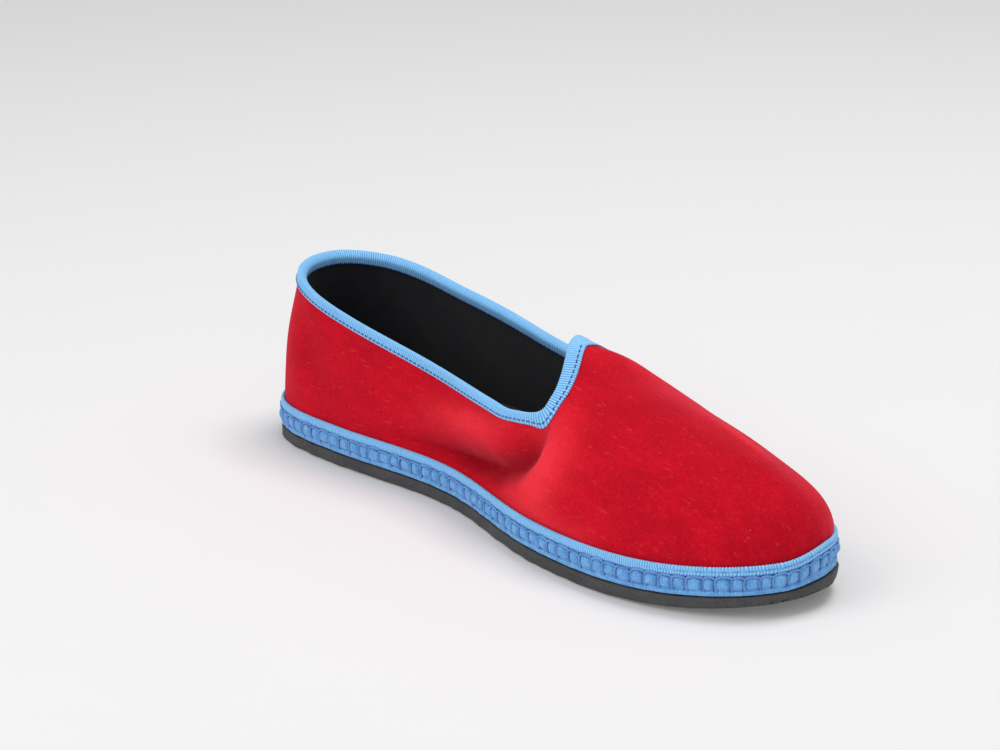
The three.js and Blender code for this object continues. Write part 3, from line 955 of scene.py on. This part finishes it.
def shell(name, outer_grow, inner_grow, grid, material):
    """Closed wall between two sizes of the form, open at the collar."""
    rim_steps, vamp_steps, rows = grid
    columns = rim_steps + vamp_steps + 1
    count = columns * (rows + 1)
    points, faces, values = [], [], []
    for first, side in ((0, INNER), (2 * count, OUTER)):
        station, across = wall_places(side, *grid)
        folds = crease(station, across)
        skins = [form_point(station, across, grow + folds) for grow in (outer_grow, inner_grow)]
        points += [skin.reshape(-1, 3) for skin in skins]
        steps = np.linalg.norm(np.diff(skins[0], axis=1), axis=2)
        wale = np.concatenate([np.zeros((columns, 1)), np.cumsum(steps, axis=1)], 1)
        lined = fade(0.12, 0.4, np.abs(across)) * (1 - 0.7 * fade(0.64, 0.78, station))
        # Painted shade at the bottom of the folds, deeper where the fold is deeper.
        sunk = np.clip(-folds / 6, 0, 1)
        # The brushed attribute is a painted highlight of the sheen, along the listed lines.
        brushed = near_lines(form_point(station, across, 0).reshape(-1, 3), PAINTED_HIGHLIGHTS)
        values += [np.stack([np.ravel(value) for value in (wale, lined, sunk, brushed)])] * 2
        faces += grid_faces(columns, rows + 1, first)
        faces += grid_faces(columns, rows + 1, first + count, flip=True)
        for row, last in ((0, columns - 1), (rows, rim_steps)):
            a = first + np.arange(last) * (rows + 1) + row
            b = a + rows + 1
            faces += np.stack([a, b, b + count, a + count], -1).tolist()
    names = ("wale", "lined", "sunk", "brushed")
    values = dict(zip(names, np.concatenate(values, 1)))
    return closed_object(name, np.concatenate(points), faces, material, 50, **values)


class SLIPPER_OT_upper(bpy.types.Operator):
    """Makes the velvet upper with its lining"""

    bl_idname = "slipper.upper"
    bl_label = "Upper and Lining"

    def execute(self, context):
        velvet = context.scene.slipper_velvet
        thickness = velvet.thickness / MM
        upper = shell("velvet_upper", 0.0, -thickness, UPPER_GRID, velvet_finish(velvet))
        hand_over(upper, "velvet", "upper")
        lining = shell("lining", -thickness - LINING_GAP, -WALL, LINING_GRID, lining_finish())
        hand_over(lining, "lining")
        return {"FINISHED"}


def ribbon_width(trim, station):
    """Ribbon that shows outside the topline, wider in the notch and round the tongue."""
    wide = trim.binding_width + (trim.tongue_width - trim.binding_width) * fade(0.604, 0.628, station)
    return wide / MM + 1.9 * bell(station, 0.603, 0.011) + 1.8 * fade(0.631, 0.64, station)


def along_line(places, run, line):
    """Points at running lengths of a line."""
    return np.stack([np.interp(places, run, column) for column in line.T], -1)


class CollarHalf:
    """One side of the topline, heel to tongue tip, with the width of its ribbon."""

    def __init__(self, trim, side, count):
        self.side = side
        self.places = topline(side, count)
        self.width = ribbon_width(trim, self.places[0])
        rim = form_point(*self.places, 0)
        self.run = lengths_along(rim)
        self.tangent = unit(np.gradient(rim, axis=0))
        self.tangent[0] = (0, side, 0)
        self.tangent[-1] = (0, -side, 0)

    def below(self, distance):
        """Places a distance below the topline, held on the middle line at the heel and at the tongue tip."""
        distance = np.broadcast_to(np.asarray(distance, float), self.run.shape)
        station, across = place_below(*self.places, self.tangent, self.side, distance)
        station[0] = 0
        across[-1] = 0
        return station, across

    def rings(self, rows):
        """Lines along the ribbon at shares of its width and distances from the outside of the wall."""
        return [velvet_point(*self.below(self.width * share), grow) for share, grow in rows]


def collar_ribbon_mesh(trim, count, material):
    """Ribbon folded over the topline. Its section goes up the outside, over the rim and down the inside."""
    halves = []
    for side in SIDES:
        half = CollarHalf(trim, side, count)
        rim = velvet_point(*half.places, 0)
        up = unit(rim - velvet_point(*half.below(2.0), 0))
        outside = unit(velvet_point(*half.places, 1.0) - velvet_point(*half.places, -1.0))
        rings = half.rings(COLLAR_OUTSIDE)
        for angle in np.radians(COLLAR_RIM):
            aside = -WALL / 2 + (WALL / 2 + 0.9) * math.cos(angle)
            rings.append(rim + outside * aside + up * (0.95 * math.sin(angle) + 0.1))
        rings += half.rings((share, -WALL - grow) for share, grow in COLLAR_INSIDE)
        rings += [rim - outside * (WALL / 2) + up * 0.12, *half.rings(COLLAR_BACK)]
        tip = fade(half.run[-1] - 14, half.run[-1] - 5, half.run)[:, None]
        ribbed = (np.arange(len(rings)) < COLLAR_RIBBED) * (1 - 0.75 * tip)
        halves.append((np.stack(rings, 1), ribbed, half.run))
    (inner, inner_ribs, inner_run), (outer, outer_ribs, outer_run) = halves
    points = np.concatenate([inner, outer[::-1][1:]])
    ribbed = np.concatenate([inner_ribs, outer_ribs[::-1][1:]])
    tip = inner_run[-1]
    run = np.concatenate([inner_run, 2 * tip - outer_run[::-1][1:] * tip / outer_run[-1]])
    along = np.repeat(run[:, None], points.shape[1], 1)
    return tube_object("collar_ribbon", points, material, along=along, ribbed=ribbed)


def collar_seam(trim, share, grow):
    """Points, tangents and outward directions of the machine stitches at a share of the ribbon's width."""
    pitch = trim.seam_pitch / MM
    sets = []
    for side, last in ((INNER, 0.02), (OUTER, 0.25)):
        half = CollarHalf(trim, side, 900)
        t, v = half.below(half.width * share)
        line = velvet_point(t, v, grow)
        run = lengths_along(line)
        goal = np.arange(0.5, run[np.abs(v) > last].max() / pitch - 0.6) * pitch
        t, v = np.interp(goal, run, t), np.interp(goal, run, v)
        ahead = along_line(goal + 0.3, run, line) - along_line(goal - 0.3, run, line)
        outwards = velvet_point(t, v, grow + 0.5) - velvet_point(t, v, grow - 0.5)
        sets.append((velvet_point(t, v, grow), unit(ahead), unit(outwards) * math.copysign(1, grow)))
    return [np.concatenate(parts) for parts in zip(*sets)]


class SLIPPER_OT_collar(bpy.types.Operator):
    """Makes the ribbon that binds the topline, with its machine stitches"""

    bl_idname = "slipper.collar"
    bl_label = "Collar Ribbon"

    def execute(self, context):
        trim = context.scene.slipper_trim
        finish = ribbon_finish(trim)
        ribbon = collar_ribbon_mesh(trim, 1300, finish)
        raise_ribs(ribbon, trim, finish)
        hand_over(ribbon, "ribbon", "collar_binding")
        seams = [collar_seam(trim, 0.74, 0.8), collar_seam(trim, 0.7, -WALL - 0.7)]
        points, tangents, outwards = (np.concatenate(parts) for parts in zip(*seams))
        half = 0.28 * (trim.seam_pitch / MM)
        path = straight_stitch((half + 0.1, -0.25), (half, 0.02), (0.4 * half, 0.16))
        shape = thread_shape("machine_stitch", path, 0.23, 5)
        thread = thread_finish("binding_thread", trim.seam_colour, (0.02, 0.05, 0.2), 0.5)
        stitches = sew("binding_stitches", points, tangents, outwards, np.ones(len(points)), shape, 0.05, thread)
        hand_over(stitches, "ribbon")
        return {"FINISHED"}


def edge_points(station, side, grow, height, lift=True):
    """Points past the sole's outline at heights over the floor, raised with the toe."""
    at = outline_point(station, side, grow)
    return np.concatenate([at, (height + lift * toe_lift(at[..., 0]))[..., None]], -1)


def plate(name, stations, profile, material, smooth_angle=None, lift=True, **attributes):
    """Plate of the sole from its edge, bottom to top, on both sides at each station, with faces across."""
    grow, height = profile

    def join(values):
        return np.concatenate([values[INNER], values[OUTER][:, ::-1]], 1)

    points = join({side: edge_points(stations[:, None], side, grow[side], height[side], lift) for side in SIDES})
    attributes = {key: join(values) for key, values in attributes.items()}
    return tube_object(name, points, material, smooth_angle, **attributes)


def plain_profile(stations, edge):
    """Growth and height of an edge that is the same all round."""
    return [{side: np.tile(edge[key], (len(stations), 1)) for side in SIDES} for key in ("grow", "height")]


def side_run(stations, side):
    """Running length of the outline at stations of a side, going round from the heel by the inner side."""
    inner, outer = (lengths_along(outline_at(stations, s)) for s in SIDES)
    return inner if side == INNER else inner[-1] + outer[-1] - outer


def stitch_places(trim):
    """Running lengths of the hand stitches, set a little unevenly, and the whole length round the edge."""
    station, _, along = edge_path(4000)
    total = along[-1] + along[1]
    crowd = np.cumsum(1 + 0.18 * fade(0.72, 0.86, station))
    count = round(crowd[-1] * along[1] / (trim.stitch_pitch / MM))
    uneven = np.random.default_rng(STITCH_SEED).uniform(-0.1, 0.1, count)
    return np.interp((np.arange(count) + 0.5 + uneven) * crowd[-1] / count, crowd, along), total


def midsole_mesh(trim, material):
    """Cloth-covered midsole, puffed between the hand stitches over a plain lower strip."""
    stations = np.linspace(0, 1, 1101)
    marks, total = stitch_places(trim)
    count = len(marks)
    marks = np.r_[marks[-1] - total, marks, marks[0] + total]
    chance = np.random.default_rng(CLOTH_SEED)
    fullness = chance.uniform(0.72, 1.2, count)
    skew = chance.uniform(0.75, 1.3, count)
    sag = chance.uniform(-0.35, 0.45, count)
    heights = np.array(MIDSOLE_EDGE["height"])
    strip = bell(heights, 6.2, 0.75)
    foot = bell(heights, 7.5, 0.45)
    under_bar = bell(heights, 11.6, 0.35)
    pulled = (0.5 + 0.5 * fade(5.8, 7.4, heights)) * (heights < 12.5)
    past_heel = off_heel(stations)[:, None]
    grow, height, along, crease_shade = {}, {}, {}, {}
    for side in SIDES:
        run = side_run(stations, side)[:, None]
        turn = np.interp(run, marks, np.arange(-1, count + 1))
        which = np.floor(turn).astype(int) % count
        phase = turn % 1
        swell = np.sin(np.pi * phase ** skew[which]) ** 0.6 * fullness[which]
        leg = bell(np.minimum(phase, 1 - phase), 0, 0.15)
        low = 7.4 + sag[which] * np.sin(np.pi * phase)
        rise = np.clip((heights - low) / (BAR_HEIGHT - low), 0, 1)
        cell = (4 * rise * (1 - rise)) ** 0.6
        lumps = 0.16 * np.sin(run / 2.3 + 0.6) + 0.14 * np.sin(run / 1.05 + 2 * np.sin(run / 5.3))
        puffed = MIDSOLE_EDGE["grow"] + cell * (swell * trim.puff / MM - 0.15)
        grow[side] = puffed + strip * (lumps * past_heel) - foot * 0.25 * leg
        swayed = heights + foot * 0.25 * (np.sin(run / 3.1) * past_heel)
        height[side] = swayed + pulled * edge_rise(stations, side)[:, None]
        along[side] = np.repeat(run, len(heights), 1)
        # Painted shade, carried by the crease attribute: at the feet of the cells, along the legs of the stitches and
        # in the corners under the bar.
        corner_shade = under_bar * fade(0.45, 0.85, phase)
        crease_shade[side] = np.clip(foot * (0.25 + 0.6 * leg) + cell * leg + corner_shade, 0, 1)
    values = {"along": along, "height": height, "crease": crease_shade}
    return plate("midsole_cloth", stations, (grow, height), material, 60, **values)


def edge_tape_mesh(trim, material):
    """Ribbed tape that covers the seam of the upper, drawn round the toe into two rows of small knots."""
    station, side, along = (values[:, None] for values in edge_path(4200))
    toe = fade(0.7, 0.84, station)
    heights = np.array(TAPE_EDGE["height"])
    rib = trim.rib_pitch / MM
    ribs = np.cumsum(1 / (1 + 0.25 * toe))
    ribs = ribs / ribs[-1] * round(ribs[-1] * along[1, 0] / rib) * rib
    upper = fade(TAPE_MIDDLE - 0.1, TAPE_MIDDLE + 0.1, heights)
    slant = 0.1 * np.abs(heights - TAPE_MIDDLE) + 0.5 * rib * upper
    uneven = 0.34 * np.sin(along / 1.3) * np.sin(along / 3.7 + 2)
    turned = ribs[:, None] + toe * (slant + uneven * (1 - 2 * upper))
    scallop = np.cos(2 * np.pi * turned / rib) * fade(14.6, 15.5, heights)
    rise = edge_rise(station, side)
    grow = TAPE_EDGE["grow"] + toe * TAPE_EDGE["knots"] - 0.06 * rise
    height = heights + (toe * 0.07 + 0.03) * scallop + rise
    ribbed = TAPE_EDGE["ribs"] * (1 - toe * (0.3 + 0.25 * np.sin(along / 2.3) * np.sin(along / 0.7)))
    # Painted shade in the gaps between the two rows of knots round the toe, carried by the sewn attribute.
    gap = bell(heights, TAPE_MIDDLE, 0.15) * toe
    sewn = gap * (0.6 + 0.4 * np.sin(along / 0.8 + 2 * np.sin(along / 5)))
    points = edge_points(station, side, grow, height)
    return tube_object("edge_ribbon", points, material, ring=True, along=turned, ribbed=ribbed, sewn=sewn)


def hand_stitches(trim, material):
    """Blanket stitches: a bar under the tape and a leg down to the crease."""
    marks, total = stitch_places(trim)
    station, side, along = edge_path(20000)
    at = np.searchsorted(along, marks % total) % len(along)
    station, side = station[at], side[at]
    here = edge_points(station, side, 0.0, BAR_HEIGHT) + np.outer(edge_rise(station, side), (0, 0, 1))
    ahead = np.roll(here, -1, axis=0) - here
    square = outline_point(station, side, 1.0) - outline_point(station, side, 0.0)
    outwards = np.column_stack([square, np.zeros(len(marks))])
    stretch = np.linalg.norm(ahead, axis=1) / (total / len(marks))
    shape = thread_shape("blanket_stitch", BLANKET_STITCH, 0.42, 6, thin_ends=False)
    return sew("blanket_stitches", here, unit(ahead), outwards, stretch, shape, 0.15, material)


class SLIPPER_OT_edge(bpy.types.Operator):
    """Makes the cloth edge of the midsole, its hand stitches and the tape over the seam"""

    bl_idname = "slipper.edge"
    bl_label = "Sewn Edge"

    def execute(self, context):
        trim = context.scene.slipper_trim
        midsole = midsole_mesh(trim, edge_cloth_finish(trim))
        hand_over(midsole, "edge_cloth", "midsole")
        finish = bpy.data.materials["ribbed_ribbon"]
        tape = edge_tape_mesh(trim, finish)
        raise_ribs(tape, trim, finish)
        hand_over(tape, "ribbon", "edge_tape")
        thread = thread_finish("edge_thread", trim.thread_colour, (0.08, 0.2, 0.54), 0.6)
        hand_over(hand_stitches(trim, thread), "edge_cloth")
        return {"FINISHED"}


def tread_cutters(depth):
    """One mesh of blocks that cut the tread, laid flat along the middle of the sole."""
    marks = []
    for k in range(-2, 24):
        for mirror, late in ((1, 0), (-1, TREAD_PITCH / 2)):
            for mark in (INNER_MARK, OUTER_MARK):
                marks.append(([(u + (k * TREAD_PITCH + late), mirror * w) for u, w in mark], depth))
    blocks = [(-30, 310, low, high, 0.7 * depth) for low, high in ((24.6, 25.3), (31.6, 32.4))]
    blocks += [(u, u + 0.5, 26.3, 30.4, 0.4) for u in range(-15, 285)]
    blocks += [(264, 310, low, low + 1.0, depth) for low in (4.5, 10.5, 16, 21)]
    for mirror in (1, -1):
        for start, end, low, high, deep in blocks:
            corners = [(start, low), (end, low), (end, high), (start, high)]
            marks.append(([(u, mirror * w) for u, w in corners], deep))
    points, faces = [], []
    cos, sin = math.cos(TREAD_TURN), math.sin(TREAD_TURN)
    turn = np.array([[cos, -sin], [sin, cos]])
    for outline, deep in marks:
        flat = (np.array(outline) - (LENGTH / 2, 0)) @ turn.T + (LENGTH / 2, TREAD_ASIDE)
        n = len(flat)
        first = len(points)
        points += [(x, y, z) for z in (RUBBER_FOOT - 1.0, RUBBER_FOOT + deep) for x, y in flat]
        faces.append([first + i for i in range(n)])
        faces.append([first + n + i for i in reversed(range(n))])
        faces += [[first + i, first + n + i, first + n + (i + 1) % n, first + (i + 1) % n] for i in range(n)]
    return closed_object("tread_cutters", np.array(points), faces)


def rubber_sole_mesh(sole, material):
    """Sole cut from a tyre: the tread is cut in the flat plate, and the plate is then bent up at the toe."""
    stations = np.linspace(0, 1, 501)
    grow, height = plain_profile(stations, RUBBER_EDGE)
    for side in SIDES:
        run = side_run(stations, side)
        knife = 0.16 * np.sin(run / 3.1) * np.sin(run / 7.7 + 1) + 0.1 * np.sin(run / 1.7 + 2 * np.sin(run / 11))
        waver = (knife * off_heel(stations))[:, None]
        rise = edge_rise(stations, side)[:, None]
        grow[side] = grow[side] + waver * RUBBER_EDGE["waver"] + 0.25 * rise * RUBBER_EDGE["pull"]
        height[side] = height[side] + 0.5 * rise * fade(1.2, 4.4, height[side])
    piece = plate("rubber_sole", stations, (grow, height), material, lift=False)
    plain = len(piece.data.vertices)
    cutters = tread_cutters(sole.groove_depth / MM)
    cut = piece.modifiers.new("Tread", "BOOLEAN")
    cut.operation = "DIFFERENCE"
    cut.solver = "MANIFOLD"
    cut.object = cutters
    bake_modifiers(piece)
    bpy.data.objects.remove(cutters)
    count = len(piece.data.vertices)
    if count <= plain:
        raise RuntimeError("the tread was not cut")
    places = np.empty(count * 3, np.float32)
    piece.data.vertices.foreach_get("co", places)
    places = places.reshape(-1, 3)
    skive = 1 - np.clip(places[:, 2] / MM / OUTSOLE_TOP, 0, 1)
    places[:, 2] += toe_lift(places[:, 0] / MM + ORIGIN[0], skive) * MM
    piece.data.vertices.foreach_set("co", places.ravel())
    piece.data.update()
    shade(piece, 32)
    return piece


def sole_rows(sole):
    """Lines of the waxed stitches: rings round the sole and one line along its middle."""
    middle = centre_line()
    station, side, _ = edge_path(1600)
    outline = outline_at(station, side)
    x = np.clip(outline[:, 0], 34, LENGTH - 46)
    core = np.column_stack([x, np.interp(x, *middle)])
    turn = np.arange(len(core)) * 2 * np.pi / len(core)
    lines = []
    for row in range(sole.rows):
        ring = core + (outline - core) * (1 - (ROW_INSET + ROW_STEP * row) / ROW_REACH)
        sway = 0.35 * np.sin(turn * (17 + 3 * row) + row)
        ring = ring + unit(outline - core) * sway[:, None]
        lines.append(np.vstack([ring, ring[:1]]))
    x = np.linspace(LENGTH - 6, 12, 400)
    return [*lines, np.column_stack([x, np.interp(x, *middle)])]


def waxed_stitches(sole, material):
    """White stitches under the sole, proud of the rubber and level with the floor."""
    pitch = sole.stitch_pitch / MM
    gap = sole.stitch_gap / MM
    sets = []
    for line in sole_rows(sole):
        run = lengths_along(line)
        count = round(run[-1] / pitch)
        step = run[-1] / count
        goal = (np.arange(count) + 0.5) * step
        flat = [along_line(goal + shift, run, line) for shift in (-2.5, 0, 2.5)]
        start, here, end = (np.column_stack([at, WAX_HEIGHT + toe_lift(at[:, 0], WAX_SKIVE)]) for at in flat)
        sets.append((here, unit(end - start), np.full(count, (step - gap) / (pitch - gap))))
    points, tangents, stretch = (np.concatenate(parts) for parts in zip(*sets))
    outwards = np.tile((0.0, 0.0, -1.0), (len(points), 1))
    half = (pitch - gap) / 2
    path = straight_stitch((half + 0.1, -0.6), (half - 0.25, -0.05), (0.6 * half, 0.0), middle=[0.02])
    shape = thread_shape("waxed_stitch", path, 0.52, 7, flatness=0.55)
    return sew("sole_stitches", points, tangents, outwards, stretch, shape, 0.05, material)


class SLIPPER_OT_sole(bpy.types.Operator):
    """Makes the rubber sole with its tread and its waxed stitches"""

    bl_idname = "slipper.sole"
    bl_label = "Rubber Sole"

    def execute(self, context):
        sole = context.scene.slipper_sole
        rubber = rubber_sole_mesh(sole, rubber_finish(sole))
        hand_over(rubber, "rubber", "outsole")
        thread = thread_finish("waxed_thread", sole.thread_colour, (0.45, 0.43, 0.4), 0.4)
        hand_over(waxed_stitches(sole, thread), "rubber")
        return {"FINISHED"}


class SLIPPER_OT_insole(bpy.types.Operator):
    """Makes the black sock that covers the inside of the sole"""

    bl_idname = "slipper.insole"
    bl_label = "Insole"

    def execute(self, context):
        stations = np.linspace(0, 1, 161)
        piece = plate("insole_sock", stations, plain_profile(stations, INSOLE_EDGE), lining_finish())
        hand_over(piece, "lining", "insole")
        return {"FINISHED"}


def add_aimed(name, data, place, aim):
    """Light or camera at a place, turned to an aim."""
    thing = bpy.data.objects.new(name, data)
    thing.location = place
    thing.rotation_euler = (Vector(aim) - Vector(place)).to_track_quat("-Z", "Y").to_euler()
    bpy.context.scene.collection.objects.link(thing)
    return thing


def add_light(name, place, aim, size, power, colour):
    """Soft square light."""
    data = bpy.data.lights.new(name, "AREA")
    data.shape = "SQUARE"
    data.size = size
    data.energy = power
    data.color = colour
    add_aimed(name, data, place, aim)


class SLIPPER_OT_stage(bpy.types.Operator):
    """Sets the floor, the studio light and the camera"""

    bl_idname = "slipper.stage"
    bl_label = "Stage"

    def execute(self, context):
        stage = context.scene.slipper_stage
        corners = np.array([(-1, -1, 0), (1, -1, 0), (1, 1, 0), (-1, 1, 0)]) * FLOOR_REACH / MM + ORIGIN
        floor = new_object("studio_floor", corners, [[0, 1, 2, 3]], floor_finish(stage))
        add_light("key", (0.1, 0.45, 1.45), (0.02, 0, 0.02), 0.7, stage.key_power, (1, 0.99, 0.98))
        add_light("side", (-0.2, -1.15, 1.0), (0.02, 0, 0.03), 1.0, stage.side_power, (1, 0.99, 0.98))
        add_light("fill", (1.3, -1.2, 0.9), (0.03, 0, 0.03), 1.4, stage.fill_power, (0.98, 0.99, 1))
        world = bpy.data.worlds.new("studio")
        world.use_nodes = True
        sky = next(n for n in world.node_tree.nodes if n.type == "BACKGROUND")
        sky.inputs["Color"].default_value = (1, 1, 1, 1)
        sky.inputs["Strength"].default_value = stage.surround
        context.scene.world = world
        context.scene.view_settings.view_transform = "Standard"
        data = bpy.data.cameras.new("camera")
        data.lens = stage.lens
        data.sensor_width = 36
        data.sensor_fit = "HORIZONTAL"
        context.scene.camera = add_aimed("camera", data, CAMERA_PLACE, CAMERA_AIM)
        return {"FINISHED"}


class SLIPPER_PT_pieces(bpy.types.Panel):
    """Pieces of the slipper and their settings"""

    bl_idname = "SLIPPER_PT_pieces"
    bl_label = "Slipper"
    bl_space_type = "VIEW_3D"
    bl_region_type = "UI"
    bl_category = "Slipper"

    def draw(self, context):
        for operator in OPERATORS:
            self.layout.operator(operator.bl_idname)
        for key in SETTINGS:
            group = getattr(context.scene, key)
            box = self.layout.box()
            for name in group.__annotations__:
                box.prop(group, name)


SETTINGS = {
    "slipper_velvet": VelvetSettings,
    "slipper_trim": TrimSettings,
    "slipper_sole": SoleSettings,
    "slipper_stage": StageSettings,
}
OPERATORS = (
    SLIPPER_OT_stage,
    SLIPPER_OT_upper,
    SLIPPER_OT_collar,
    SLIPPER_OT_edge,
    SLIPPER_OT_sole,
    SLIPPER_OT_insole,
)


def register():
    for group in (*SETTINGS.values(), *OPERATORS, SLIPPER_PT_pieces):
        bpy.utils.register_class(group)
    for key, group in SETTINGS.items():
        setattr(bpy.types.Scene, key, PointerProperty(type=group))


def unregister():
    for key in SETTINGS:
        delattr(bpy.types.Scene, key)
    for group in reversed((*SETTINGS.values(), *OPERATORS, SLIPPER_PT_pieces)):
        bpy.utils.unregister_class(group)


def main():
    """Makes every piece."""
    register()
    bpy.ops.slipper.stage()
    bpy.ops.slipper.upper()
    bpy.ops.slipper.collar()
    bpy.ops.slipper.edge()
    bpy.ops.slipper.sole()
    bpy.ops.slipper.insole()


if __name__ == "__main__":
    main()
